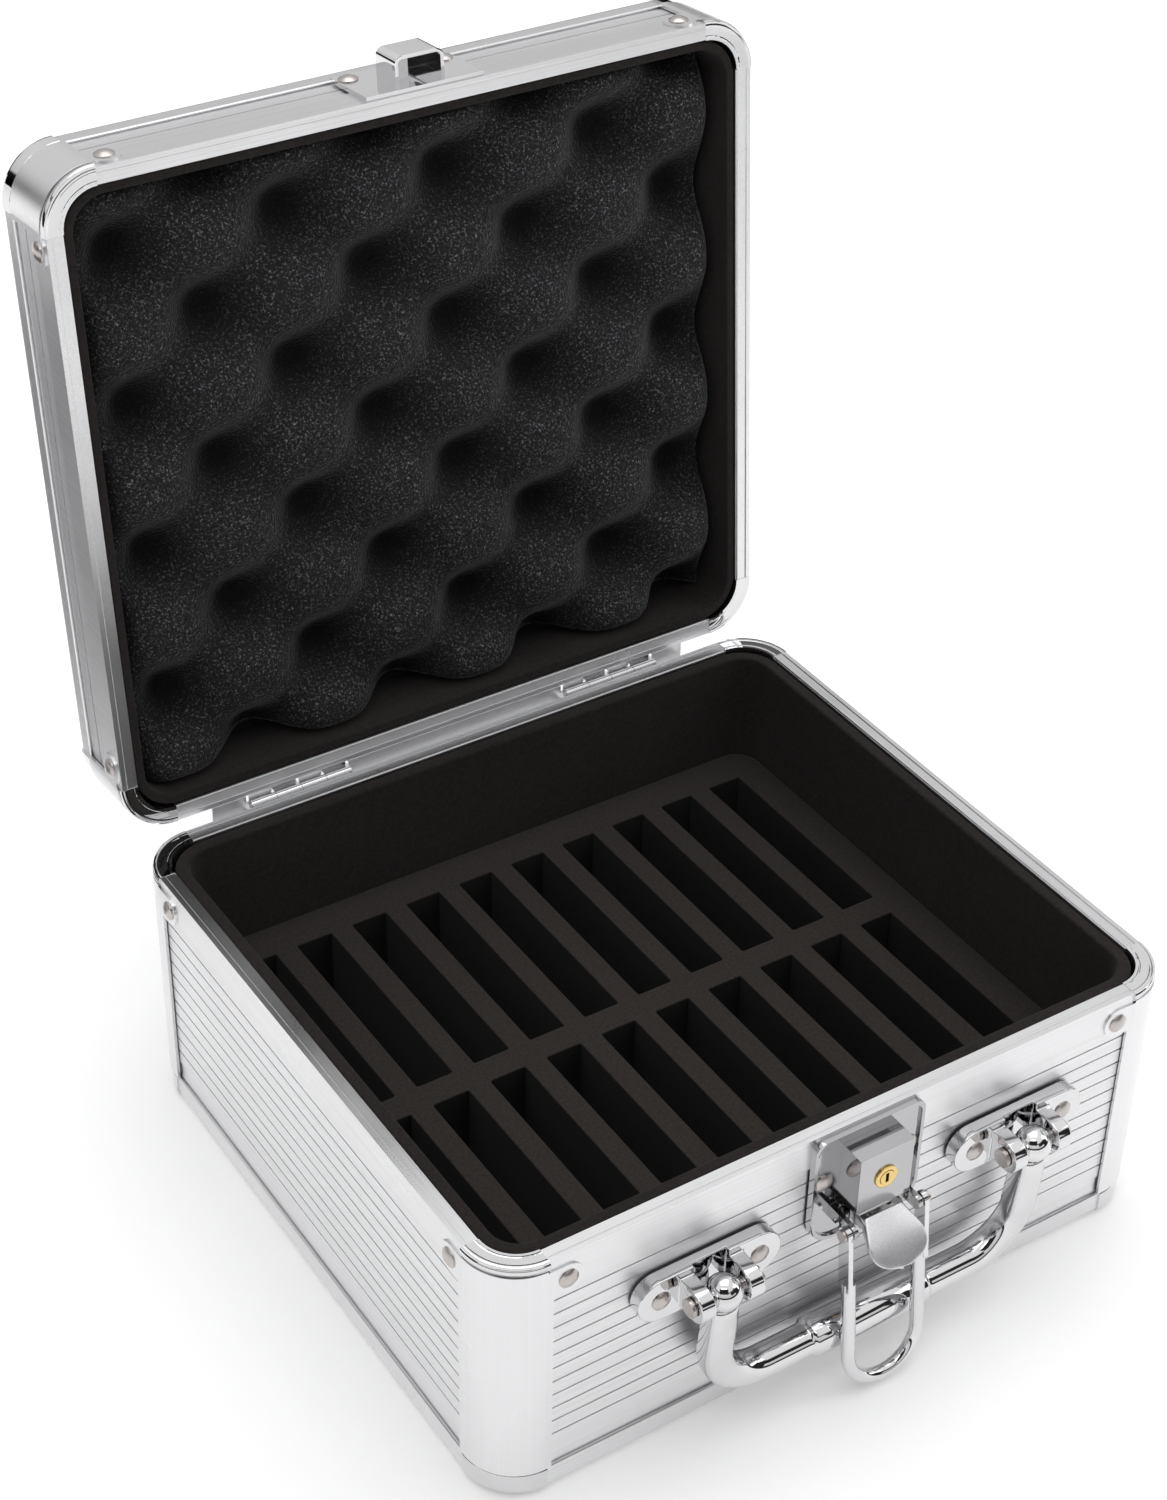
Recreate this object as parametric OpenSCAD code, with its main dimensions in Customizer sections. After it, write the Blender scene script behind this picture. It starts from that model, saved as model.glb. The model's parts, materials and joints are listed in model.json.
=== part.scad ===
// Small aluminium-framed carrying case with an open lid, a slotted insert,
// two piano-style hinges, a bail latch with a key lock, and a drop handle.
// The frame's origin is the centre of the base's footprint, +Z is up and the
// handle side faces -Y. The lid is drawn shut and then turned to its open stop.

/* [Case] */
// Width over the rim rails
case_w = 210; // [160:1:320]
// Depth over the rim rails
case_d = 190; // [150:1:300]
// Height of the base, from the ground to the rim
base_h = 81; // [60:1:120]
// Height of the lid, from its rim to its top
lid_h = 28; // [24:1:50]
// How far the lid stands open
lid_open = 95; // [0:1:95]
// Radius of the upright corners
corner_r = 14.4; // [12:0.1:15]

/* [Walls] */
// Width of the rim face, which is the whole wall
wall_t = 4.7; // [4:0.1:6]
// Height of the rim rail's outer leg
rim_leg_h = 9.5; // [6:0.1:12]
// Height of the base's foot rail
foot_h = 8; // [6:0.5:12]
// Height of the lid's edge rail
edge_h = 7; // [5:0.5:8]
// Distance from one rib to the next
rib_pitch = 4.75; // [3:0.05:8]
// Thickness of the base's lining
base_lining_t = 3.8; // [1.5:0.1:6]
// Thickness of the lid's lining
lid_lining_t = 2.6; // [1.5:0.1:4]

/* [Insert] */
// Slots in each row
slot_count = 10; // [4:1:10]
// Distance from one slot to the next
slot_pitch = 17.8; // [14:0.1:18]
// Width of one slot
slot_w = 10.9; // [6:0.1:12]
// Length of one slot
slot_len = 68; // [50:1:70]
// Height of the insert's top face
insert_top = 44.5; // [30:0.5:60]

/* [Front hardware] */
// Where the lock and the handle are centred across the front
lock_x = 2.8; // [-10:0.1:10]
// Depth of the handle's pivots below the rim
pivot_drop = 26.5; // [22:0.5:40]
// Distance from the handle's centre to each pivot
pivot_x = 48.6; // [40:0.1:60]
// How far the handle leans in against the panel
handle_lean = 5.3; // [0:0.1:6]
// How far the lever stands open
lever_open = 50; // [0:1:70]
// How far the bail leans out over the handle
bail_lean = 6.5; // [6:0.5:30]

/* [Hidden] */

$fn = 48;
eps = 0.01;

// Sides and corners are numbered anticlockwise from the front, seen from above.
front = 0;
right = 1;
rear = 2;
left = 3;
sides = [front, right, rear, left];

silver = "silver";
bright = "gainsboro";
black = [0.06, 0.055, 0.05];

// Wall build-up, as depths inward from the rim rail's outer face.
rail_t = 0.9;
skin_t = 0.4;
rib_proud = 0.35;
rib_gap = 0.55;
board_in = wall_t - rail_t;
rim_web_t = 1.2;
rim_seat = 2.65;
inner_leg_h = 8;
rail_end = 15;
panel_t = 3;
floor_low = 1.6;
foot_web_t = 1.5;
foot_web_w = 12;
foot_edge_r = 2.4;
board_low = floor_low;

// Corner pillars stand a little proud and lap over the skins.
pillar_proud = 0.5;
pillar_t = 0.8;
pillar_lap = 1.6;
ear_len = 9.4;
ear_h = 9;

// Rivets.
rivet_r = 2.7;
rivet_shank_r = 1.5;
rivet_hole_r = 1.56;
rivet_dome_r = 4.4;
rivet_head_h = 1.2;
corner_rivet_in = 20;
base_rivet_drop = 7.8;
lid_rivet_drop = 5.7;

// Rim plane of the closed lid, just clear of the base's rim.
lid_gap = 0.3;
lid_rim = base_h + lid_gap;

// Lining.
lining_in = 4.9;
lining_drop = 1;
lining_floor_t = 2;
lining_corner_r = 12;
soft_gap = 0.2;
insert_gap = 0.4;

// Insert.
insert_x = case_w/2 - lining_in - base_lining_t - insert_gap;
insert_y = case_d/2 - lining_in - base_lining_t - insert_gap;
insert_low = floor_low + panel_t + soft_gap + lining_floor_t + soft_gap;
insert_pad_t = 3.5;
insert_corner_r = lining_corner_r - base_lining_t - insert_gap;
rear_row_y = [6.3, 6.3 + slot_len];
front_row_y = [-2.1 - slot_len, -2.1];
slots_half = (slot_count - 1)*slot_pitch/2 + slot_w/2;

// Hinges.
hinge_y = case_d/2 + 2.5;
hinge_z = base_h - 1.3;
hinge_x = 52.5;
hinge_len = 32;
knuckles = 4;
knuckle_r = 1.5;
knuckle_gap = 0.15;
hinge_pin_r = 0.75;
hinge_bore_r = 0.8;
leaf_t = 0.9;
leaf_h = 9;

// Trough on the base's rear rail, behind the rim and round the knuckles.
trough_in = 4.3;
trough_t = 0.6;
trough_low = 4.2;
trough_high = 0.8;
trough_by_leaf = 1.3;

// Lock, as distances out from the front face and down from the rim.
plate_w = 34;
plate_top = 0.9;
plate_bottom = 35;
plate_t = 1.2;
plate_face = 2;
plate_border = 1;
lock_rivet_x = 13.2;
lock_rivet_drop = 15.2;
box_half = 8.3;
box_face = 8.8;
box_top = 4.5;
box_front_end = 22.8;
box_wall = 1;
cylinder_drop = 13.3;
cylinder_r = 2.7;
cylinder_flange_r = 3.4;
plug_r = 2.1;
plug_bore_r = 2.15;
lever_out = 4.6;
lever_drop = 27.5;
pin_r = 1;
pin_bore_r = 1.05;
bail_out = 9.98;
bail_drop = 26.4;
bail_half = 12;
ear_at = 10.1;

// Handle.
bracket_rivet_x = 14.6;
bracket_t = 4;
bracket_r = 6.6;
handle_out = 9.5;
handle_pin_r = 1.8;
handle_bore_r = 1.86;
arm_w = 9.6;
arm_depth = 8;
barrel_r = 5.1;
handle_drop = 38;
bend_r = 11;
grip_r = 5.1;
grip_len = 37;
ear_inner = 5.15;
ear_outer = 9.3;

// ---------------------------------------------------------------- placing

function half_of(side) = side % 2 == 0 ? case_d/2 : case_w/2;
function run_of(side) = side % 2 == 0 ? case_w : case_d;

// Local frame of a side: X along it, the outer face at y = 0, inward is +Y.
module on_side(side) {
    rotate([0, 0, 90*side]) translate([0, -half_of(side), 0]) children();
}

// Local frame of a corner: the arc's centre, with the corner toward -X, -Y.
// Corner n stands at the left end of side n, seen from outside.
module on_corner(corner, r) {
    sx = (corner == front || corner == left) ? -1 : 1;
    sy = (corner == front || corner == right) ? -1 : 1;
    translate([sx*(case_w/2 - r), sy*(case_d/2 - r), 0])
        rotate([0, 0, 90*corner]) children();
}

// The lid's pieces are drawn like the base's, upside down on the rim plane.
module lid_shell() {
    translate([0, 0, lid_rim + lid_h]) mirror([0, 0, 1]) children();
}

// Turns what is drawn shut to the lid's open stop.
module lid_pose() {
    translate([0, hinge_y, hinge_z]) rotate([-lid_open, 0, 0])
        translate([0, -hinge_y, -hinge_z]) children();
}

// Local frame on the front face: X across, Y out of the face, Z up from the rim.
module on_front(x, z) {
    translate([x, -case_d/2, base_h + z]) rotate([0, 0, 180]) children();
}

module quarter(r_in, r_out, h) {
    rotate([0, 0, 180]) rotate_extrude(angle = 90)
        translate([r_in, 0]) square([r_out - r_in, h]);
}

module rounded_plate(half_x, half_y, r, h) {
    linear_extrude(h) {
        square([2*(half_x - r), 2*half_y], center = true);
        square([2*half_x, 2*(half_y - r)], center = true);
        for (sx = [-1, 1], sy = [-1, 1])
            translate([sx*(half_x - r), sy*(half_y - r)]) circle(r);
    }
}

// A dome-headed rivet: the head outward (-Y), the shank inward.
module rivet(shank) {
    rotate([90, 0, 0]) intersection() {
        translate([0, 0, rivet_head_h - rivet_dome_r]) sphere(rivet_dome_r);
        cylinder(r = rivet_r, h = rivet_head_h);
    }
    rotate([-90, 0, 0]) cylinder(r = rivet_shank_r, h = shank);
}

// Holes for the corner rivets of one side, h high, drop below its rim.
module corner_holes(side, h, drop) {
    for (sx = [-1, 1])
        translate([sx*(run_of(side)/2 - corner_rivet_in), -2, h - drop])
            rotate([-90, 0, 0]) cylinder(r = rivet_hole_r, h = wall_t + 4);
}

// Holes in the front wall for the brackets' and the lock's rivets.
module front_holes() {
    for (sx = [-1, 1]) {
        for (rx = [-1, 1])
            translate([lock_x + sx*pivot_x + rx*bracket_rivet_x, -case_d/2 - 6, base_h - pivot_drop])
                rotate([-90, 0, 0]) cylinder(r = rivet_hole_r, h = wall_t + 8);
        translate([lock_x + sx*lock_rivet_x, -case_d/2 - 6, base_h - lock_rivet_drop])
            rotate([-90, 0, 0]) cylinder(r = rivet_hole_r, h = wall_t + 8);
    }
}

// Holes in the lid's front wall for the keeper's rivets, in the shut lid.
keeper_rivet_x = 14.2;
keeper_rivet_up = 16;
module keeper_holes() {
    for (sx = [-1, 1])
        translate([lock_x + sx*keeper_rivet_x, -case_d/2 - 6, lid_h - keeper_rivet_up])
            rotate([-90, 0, 0]) cylinder(r = rivet_hole_r, h = wall_t + 8);
}

// ---------------------------------------------------------------- shells

// Upper frame extrusion: an outer leg, a rim face with a bead, an inner leg.
module rim_rail(side, h, drop) {
    run = run_of(side) - 2*rail_end;
    bead_w = 1.3;
    groove_w = 0.35;
    groove_d = 0.3;
    difference() {
        on_side(side) translate([-run/2, 0, h]) rotate([90, 0, 90]) linear_extrude(run)
            polygon([
                [0, 0], [0, -rim_leg_h], [rail_t, -rim_leg_h], [rail_t, -rim_web_t],
                [wall_t - rail_t, -rim_web_t], [wall_t - rail_t, -inner_leg_h],
                [wall_t, -inner_leg_h], [wall_t, -0.5], [wall_t - 0.4, -0.5],
                [wall_t - 0.4, -0.15], [bead_w + groove_w, -0.15],
                [bead_w + groove_w, -groove_d], [bead_w, -groove_d], [bead_w, 0]
            ]);
        on_side(side) corner_holes(side, h, drop);
    }
}

// Outline of the foot rail's section, its outer bottom edge rounded.
function foot_outline(h) = concat(
    [for (a = [180:15:270]) [foot_edge_r + foot_edge_r*cos(a), foot_edge_r + foot_edge_r*sin(a)]],
    [[foot_web_w, 0], [foot_web_w, foot_web_t], [rail_t, foot_web_t],
     [rail_t, h - 0.3], [rail_t - 0.3, h], [0.3, h], [0, h - 0.3]]
);

module foot_rail(side, h) {
    run = run_of(side) - 2*rail_end;
    on_side(side) translate([-run/2, 0, 0]) rotate([90, 0, 90])
        linear_extrude(run) polygon(foot_outline(h));
}

module foot_corner(corner, h) {
    on_corner(corner, rail_end) rotate([0, 0, 180]) rotate_extrude(angle = 90)
        polygon([for (p = foot_outline(h)) [rail_end + pillar_proud - p[0]*0.98, p[1]]]);
}

// Ribbed facing sheet of one side, from the foot rail up into the rim rail.
module skin(side, h, foot, drop, strip = 2.5) {
    run = run_of(side) - 2*corner_r;
    low = board_low;
    ribs_top = h - rim_leg_h - 0.6;
    ribs_low = foot + strip;
    count = floor((ribs_top - ribs_low + rib_gap)/rib_pitch);
    difference() {
        on_side(side) {
            translate([-run/2, rail_t, low])
                cube([run, skin_t, h - rim_seat - low]);
            for (i = [0:count - 1])
                translate([-run/2, rail_t - rib_proud, ribs_top - i*rib_pitch - (rib_pitch - rib_gap)])
                    cube([run, rib_proud + eps, rib_pitch - rib_gap]);
        }
        on_side(side) corner_holes(side, h, drop);
    }
}

// Board panels of the four walls, standing between the corner pillars.
module wall_board(side, h, low) {
    run = run_of(side) - 2*corner_r;
    on_side(side) translate([-run/2, rail_t + skin_t, low])
        cube([run, board_in - rail_t - skin_t, h - rim_seat - low]);
}

// Corner post: a quarter-round section with flanges that lap over the skins
// and two ears that run along the rim rail to the corner rivets.
module pillar(corner, h, foot, drop) {
    lap_low = foot + 0.2;
    difference() {
        on_corner(corner, corner_r) {
            translate([0, 0, lap_low])
                quarter(corner_r - board_in, corner_r + pillar_proud, h - rim_seat - 0.1 - lap_low);
            for (m = [0, 1]) mirror([m, -m, 0]) {
                translate([0, -corner_r - pillar_proud, lap_low])
                    cube([pillar_lap, pillar_t, h - rim_leg_h - 0.2 - lap_low]);
                translate([0, -corner_r - pillar_proud, h - drop - ear_h/2])
                    cube([ear_len - 4, pillar_proud, min(ear_h, drop + ear_h/2 - 2.8)]);
                translate([ear_len - 4, -corner_r, h - drop])
                    rotate([90, 0, 0]) cylinder(r = ear_h/2, h = pillar_proud);
            }
        }
        for (side = sides) on_side(side) corner_holes(side, h, drop);
    }
}

// Bright pressed corner of the rim, with a rolled bead on its outer edge.
module rim_corner(corner, h) {
    on_corner(corner, rail_end) {
        translate([0, 0, h - rim_web_t - 1.4])
            quarter(rail_end - wall_t, rail_end + 0.3, rim_web_t + 1.4);
        rotate([0, 0, 180]) rotate_extrude(angle = 90)
            translate([rail_end - 0.7, h - 1.3]) circle(1.4);
        rotate([0, 0, 180]) rotate_extrude(angle = 90)
            translate([rail_end - wall_t + 1, h - 0.95]) circle(1);
    }
}

// Lining tray: a floor and a wall in one soft piece.
module lining(low, top, wall, floor_t) {
    hx = case_w/2 - lining_in;
    hy = case_d/2 - lining_in;
    difference() {
        translate([0, 0, low]) rounded_plate(hx, hy, lining_corner_r, top - low);
        translate([0, 0, low + floor_t])
            rounded_plate(hx - wall, hy - wall, lining_corner_r - wall, top - low);
    }
}

// Floor or top panel, rebated all round for the webs of the foot rails.
module wide_panel() {
    in = foot_web_w + 0.1;
    translate([0, 0, floor_low])
        rounded_plate(case_w/2 - board_in - 0.02, case_d/2 - board_in - 0.02, corner_r - board_in, panel_t);
    rounded_plate(case_w/2 - in, case_d/2 - in, 3, floor_low + eps);
}

// ---------------------------------------------------------------- base

module base_floor() {
    color(black) wide_panel();
}

module base_boards() {
    color(black) difference() {
        for (side = sides) wall_board(side, base_h, floor_low);
        for (side = sides) on_side(side) corner_holes(side, base_h, base_rivet_drop);
        front_holes();
    }
}

module base_skin_front() {
    color(silver) difference() {
        skin(front, base_h, foot_h, base_rivet_drop);
        front_holes();
    }
}
module base_skin_right() { color(silver) skin(right, base_h, foot_h, base_rivet_drop); }
module base_skin_rear() { color(silver) skin(rear, base_h, foot_h, base_rivet_drop); }
module base_skin_left() { color(silver) skin(left, base_h, foot_h, base_rivet_drop); }

module base_rim_rail_front() { color(silver) rim_rail(front, base_h, base_rivet_drop); }
module base_rim_rail_right() { color(silver) rim_rail(right, base_h, base_rivet_drop); }
// Upright wall of the trough from x0 to x1, up to a height above the rim.
module trough_wall(x0, x1, high) {
    translate([x0, -trough_in - trough_t, base_h - trough_low])
        cube([x1 - x0, trough_t, trough_low + high]);
}

// The floor stops at the hinges, where only the wall runs on. The wall is
// low behind the lid's knuckles and tall behind the base's.
module rear_trough() {
    run = case_w/2 - corner_rivet_in - ear_h/2 - 1;
    near = hinge_x - hinge_len/2 - 0.4;
    far = hinge_x + hinge_len/2 + 0.4;
    on_side(rear) {
        trough_wall(-run, run, -trough_by_leaf);
        for (span = [[-run, -far], [-near, near], [far, run]]) {
            trough_wall(span[0], span[1], trough_high);
            translate([span[0], -trough_in - trough_t, base_h - trough_low])
                cube([span[1] - span[0], trough_in + trough_t + 0.2, trough_t]);
        }
        for (sx = [-1, 1], i = [0:2:knuckles - 1]) {
            start = sx*hinge_x - hinge_len/2 + i*knuckle_w();
            trough_wall(-start - knuckle_w() + 0.4, -start - 0.4, trough_high);
        }
    }
}

module base_rim_rail_rear() {
    color(silver) {
        rim_rail(rear, base_h, base_rivet_drop);
        rear_trough();
    }
}
module base_rim_rail_left() { color(silver) rim_rail(left, base_h, base_rivet_drop); }

module base_foot_rail_front() { color(silver) foot_rail(front, foot_h); }
module base_foot_rail_right() { color(silver) foot_rail(right, foot_h); }
module base_foot_rail_rear() { color(silver) foot_rail(rear, foot_h); }
module base_foot_rail_left() { color(silver) foot_rail(left, foot_h); }

module base_pillar_front_left() { color(bright) pillar(0, base_h, foot_h, base_rivet_drop); }
module base_pillar_front_right() { color(bright) pillar(1, base_h, foot_h, base_rivet_drop); }
module base_pillar_rear_right() { color(bright) pillar(2, base_h, foot_h, base_rivet_drop); }
module base_pillar_rear_left() { color(bright) pillar(3, base_h, foot_h, base_rivet_drop); }

module base_rim_corners() { color(bright) for (corner = sides) rim_corner(corner, base_h); }
module base_foot_corners() { color(bright) for (corner = sides) foot_corner(corner, foot_h); }

// Two rivets on each side, set through the pillar's ears into the boards.
module corner_rivets(h, drop) {
    for (side = sides, sx = [-1, 1])
        on_side(side) translate([sx*(run_of(side)/2 - corner_rivet_in), -pillar_proud, h - drop])
            rivet(pillar_proud + board_in - 0.3);
}

module base_rivets() {
    color(bright) {
        corner_rivets(base_h, base_rivet_drop);
        for (sx = [-1, 1]) {
            for (rx = [-1, 1])
                translate([lock_x + sx*pivot_x + rx*bracket_rivet_x, -case_d/2 - bracket_t,
                           base_h - pivot_drop])
                    rivet(bracket_t + board_in - 0.3);
            translate([lock_x + sx*lock_rivet_x, -case_d/2 - plate_t, base_h - lock_rivet_drop])
                rivet(plate_t + board_in - 0.3);
        }
    }
}

module base_liner() {
    color(black) lining(floor_low + panel_t + soft_gap, base_h - lining_drop, base_lining_t, lining_floor_t);
}

// ---------------------------------------------------------------- insert

module insert_outline(h) { rounded_plate(insert_x, insert_y, insert_corner_r, h); }

module insert_pad() {
    color(black) translate([0, 0, insert_low]) insert_outline(insert_pad_t);
}

// The three full-width bars and the end blocks around the slots.
module insert_bars() {
    low = insert_low + insert_pad_t;
    color(black) difference() {
        translate([0, 0, low]) insert_outline(insert_top - low);
        translate([-slots_half, front_row_y[0], low - 1])
            cube([2*slots_half, slot_len, insert_top]);
        translate([-slots_half, rear_row_y[0], low - 1])
            cube([2*slots_half, slot_len, insert_top]);
    }
}

module insert_dividers() {
    low = insert_low + insert_pad_t;
    gap_w = slot_pitch - slot_w;
    color(black) for (y = [front_row_y[0], rear_row_y[0]], i = [0:slot_count - 2])
        translate([-slots_half + slot_w + i*slot_pitch, y, low])
            cube([gap_w, slot_len, insert_top - low]);
}

// ---------------------------------------------------------------- hinges

function knuckle_w() = hinge_len/knuckles;

// Base leaves carry the even knuckles and lid leaves the odd ones.
module hinge_leaves(first) {
    for (sx = [-1, 1], i = [first:2:knuckles - 1])
        translate([sx*hinge_x - hinge_len/2 + i*knuckle_w() + knuckle_gap/2, hinge_y, hinge_z])
            difference() {
                union() {
                    rotate([0, 90, 0]) cylinder(r = knuckle_r, h = knuckle_w() - knuckle_gap);
                    if (first == 0)
                        translate([0, -2.5, -leaf_h])
                            cube([knuckle_w() - knuckle_gap, leaf_t, leaf_h - 0.2]);
                    if (first == 0)
                        translate([0, -2.5, -1.5])
                            cube([knuckle_w() - knuckle_gap, 2.5, 1.3]);
                    if (first == 1)
                        translate([0, -2.5, 2.9])
                            cube([knuckle_w() - knuckle_gap, leaf_t, leaf_h]);
                    if (first == 1)
                        translate([0, -knuckle_r, 0])
                            cube([knuckle_w() - knuckle_gap, leaf_t, 3.8]);
                    if (first == 1)
                        translate([0, -2.5, 2.9])
                            cube([knuckle_w() - knuckle_gap, 2.5 - knuckle_r + leaf_t, leaf_t]);
                }
                translate([-1, 0, 0]) rotate([0, 90, 0]) cylinder(r = hinge_bore_r, h = knuckle_w() + 2);
            }
}

module base_hinge_leaves() { color(bright) hinge_leaves(0); }

module hinge_pins() {
    color(bright) for (sx = [-1, 1])
        translate([sx*hinge_x - hinge_len/2, hinge_y, hinge_z])
            rotate([0, 90, 0]) cylinder(r = hinge_pin_r, h = hinge_len);
}

// ---------------------------------------------------------------- lock

// Back plate: square-shouldered top, deeply rounded bottom, raised border.
module plate_shape(inset) {
    half = plate_w/2 - inset;
    top = -inset;
    low = -plate_bottom + inset;
    r_low = 8 - inset/2;
    r_top = 3;
    union() {
        translate([-half, low + r_low]) square([2*half, top - low - r_low - r_top]);
        translate([-half + r_low, low]) square([2*(half - r_low), r_low + 1]);
        translate([-half + r_top, top - r_top - 1]) square([2*(half - r_top), r_top + 1]);
        for (sx = [-1, 1]) {
            translate([sx*(half - r_low), low + r_low]) circle(r_low);
            translate([sx*(half - r_top), top - r_top]) circle(r_top);
        }
    }
}

module lock_plate() {
    color(bright) difference() {
        on_front(lock_x, 0) rotate([90, 0, 0]) translate([0, 0, -plate_face]) difference() {
            linear_extrude(plate_face) translate([0, -plate_top]) plate_shape(0);
            translate([0, 0, -eps]) linear_extrude(plate_face - plate_t + eps)
                translate([0, -plate_top]) plate_shape(plate_border);
        }
        front_holes();
        on_front(lock_x, -cylinder_drop) rotate([-90, 0, 0])
            translate([0, 0, -1]) cylinder(r = cylinder_r + 0.05, h = plate_face + 2);
    }
}

// Cast box over the lock, hollow behind, with two ears for the lever's pin.
module lock_box() {
    color(bright) on_front(lock_x, 0) difference() {
        union() {
            translate([-box_half, plate_t, -box_front_end])
                cube([2*box_half, box_face - plate_t, box_front_end - box_top]);
            for (sx = [-1, 1])
                translate([sx*(box_half - 0.7) - 0.7, plate_t, -lever_drop - 1.9])
                    cube([1.4, lever_out + 1.9 - plate_t, lever_drop + 2 - box_front_end]);
            // Outer ears for the bail, joined to the box near the plate.
            for (sx = [-1, 1]) {
                translate([sx*ear_at - 0.7, plate_t, -bail_drop - 2])
                    cube([1.4, bail_out - plate_t, 4]);
                translate([sx*ear_at, bail_out, -bail_drop]) rotate([0, 90, 0])
                    cylinder(r = 2, h = 1.4, center = true);
                translate([sx*(ear_at + box_half)/2 - 1, plate_t, -bail_drop - 2])
                    cube([2, 1.6, 4]);
            }
        }
        translate([-20, bail_out, -bail_drop]) rotate([0, 90, 0])
            cylinder(r = pin_r + 0.02, h = 40);
        translate([-box_half + box_wall + 0.4, plate_t - 1, -box_front_end - 1])
            cube([2*(box_half - box_wall - 0.4), box_face - plate_t - box_wall + 1,
                  box_front_end - box_top - box_wall + 1]);
        translate([0, 0, -cylinder_drop]) rotate([-90, 0, 0])
            cylinder(r = cylinder_r + 0.05, h = 20);
        translate([-20, lever_out, -lever_drop]) rotate([0, 90, 0])
            cylinder(r = pin_r + 0.02, h = 40);
    }
}

// Brass cylinder housing, flanged on the box's front.
module lock_cylinder() {
    color("goldenrod") on_front(lock_x, -cylinder_drop) rotate([-90, 0, 0]) difference() {
        union() {
            translate([0, 0, plate_t]) cylinder(r = cylinder_r, h = box_face - plate_t);
            translate([0, 0, box_face]) cylinder(r = cylinder_flange_r, h = 0.6);
        }
        translate([0, 0, plate_t - 1]) cylinder(r = plug_bore_r, h = box_face + 3);
    }
}

// The part that the key turns, with its keyway.
module key_plug() {
    color("goldenrod") on_front(lock_x, -cylinder_drop) rotate([-90, 0, 0]) difference() {
        translate([0, 0, plate_t + 0.6]) cylinder(r = plug_r, h = box_face + 0.7 - plate_t - 0.6);
        translate([-0.5, -1.5, box_face - 2.5]) cube([1, 3, 6]);
    }
}

// Cam on the plug's inner end, inside the back of the cylinder's room.
module lock_cam() {
    color("dimgray") on_front(lock_x, -cylinder_drop) rotate([-90, 0, 0])
        translate([0, 0, plate_t - 1.1]) cylinder(r = 1.6, h = 1.7);
}

module lever_pin() {
    color(bright) on_front(lock_x, 0) translate([0, lever_out, -lever_drop]) rotate([0, 90, 0]) {
        cylinder(r = pin_r, h = 2*(box_half + 0.3), center = true);
        for (sx = [-1, 1])
            translate([0, 0, sx*(box_half + 0.4)]) cylinder(r = 1.5, h = 0.8, center = true);
    }
}

// Lever frame: origin at its pin, turned about the pin by the open angle.
module lever_frame() {
    on_front(lock_x, 0) translate([0, lever_out, -lever_drop]) children();
}

// Pressed lever: a flap that widens to a rounded tip, with folded cheeks.
module lever() {
    tilt = 90 - lever_open;
    root_out = 4.6;
    cheek_x = 6.1;
    cheek_len = 5.5;
    color(silver) lever_frame() difference() {
        union() {
            for (sx = [-1, 1])
                translate([sx*cheek_x, 0, 0]) rotate([0, 90, 0])
                    cylinder(r = 1.9, h = 1, center = true);
            for (sx = [-1, 1])
                translate([sx*cheek_x - 0.5, 0, 0]) rotate([12, 0, 0])
                    translate([0, 0, -1.6]) cube([1, cheek_len, 3.5]);
            translate([0, root_out, 2.2]) rotate([-tilt, 0, 0]) {
                linear_extrude(1) polygon([
                    [-6.6, 0], [6.6, 0], [7.6, 3.5], [8.4, 7.5], [8.4, 10.5], [7.4, 12.8],
                    [5, 14.1], [2.2, 14.6], [-2.2, 14.6], [-5, 14.1], [-7.4, 12.8],
                    [-8.4, 10.5], [-8.4, 7.5], [-7.6, 3.5]
                ]);
            }
        }
        translate([-20, 0, 0]) rotate([0, 90, 0]) cylinder(r = pin_bore_r, h = 40);
    }
}

module bail_pins() {
    long = 2*bail_half + 1.4 - 2*(ear_at - 0.7);
    color(bright) on_front(lock_x, 0) translate([0, bail_out, -bail_drop])
        for (sx = [-1, 1]) {
            translate([sx*(ear_at - 0.7 + long/4), 0, 0]) rotate([0, 90, 0])
                cylinder(r = pin_r, h = long/2, center = true);
            translate([sx*(bail_half + 1.2), 0, 0]) rotate([0, 90, 0])
                cylinder(r = 1.7, h = 0.8, center = true);
        }
}

// Wire bail: two flat straps, then a round wire bent into a U.
module bail() {
    strap_len = 18;
    wire_r = 1.9;
    u_r = 11.1;
    wire_len = 22.8;
    color(bright) on_front(lock_x, 0) translate([0, bail_out, -bail_drop])
        rotate([bail_lean, 0, 0]) difference() {
            union() {
                for (sx = [-1, 1]) {
                    translate([sx*bail_half - 0.7, -2.1, -strap_len]) cube([1.4, 4.2, strap_len]);
                    translate([sx*bail_half, 0, 0]) rotate([0, 90, 0])
                        cylinder(r = 2.1, h = 1.4, center = true);
                    translate([sx*u_r, 0, -strap_len - wire_len]) cylinder(r = wire_r, h = wire_len + 2);
                }
                translate([0, 0, -strap_len - wire_len]) rotate([90, 0, 0])
                    rotate([0, 0, 180]) rotate_extrude(angle = 180)
                        translate([u_r, 0]) circle(wire_r);
            }
            translate([-20, 0, 0]) rotate([0, 90, 0]) cylinder(r = pin_bore_r, h = 40);
        }
}

// ---------------------------------------------------------------- handle

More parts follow.
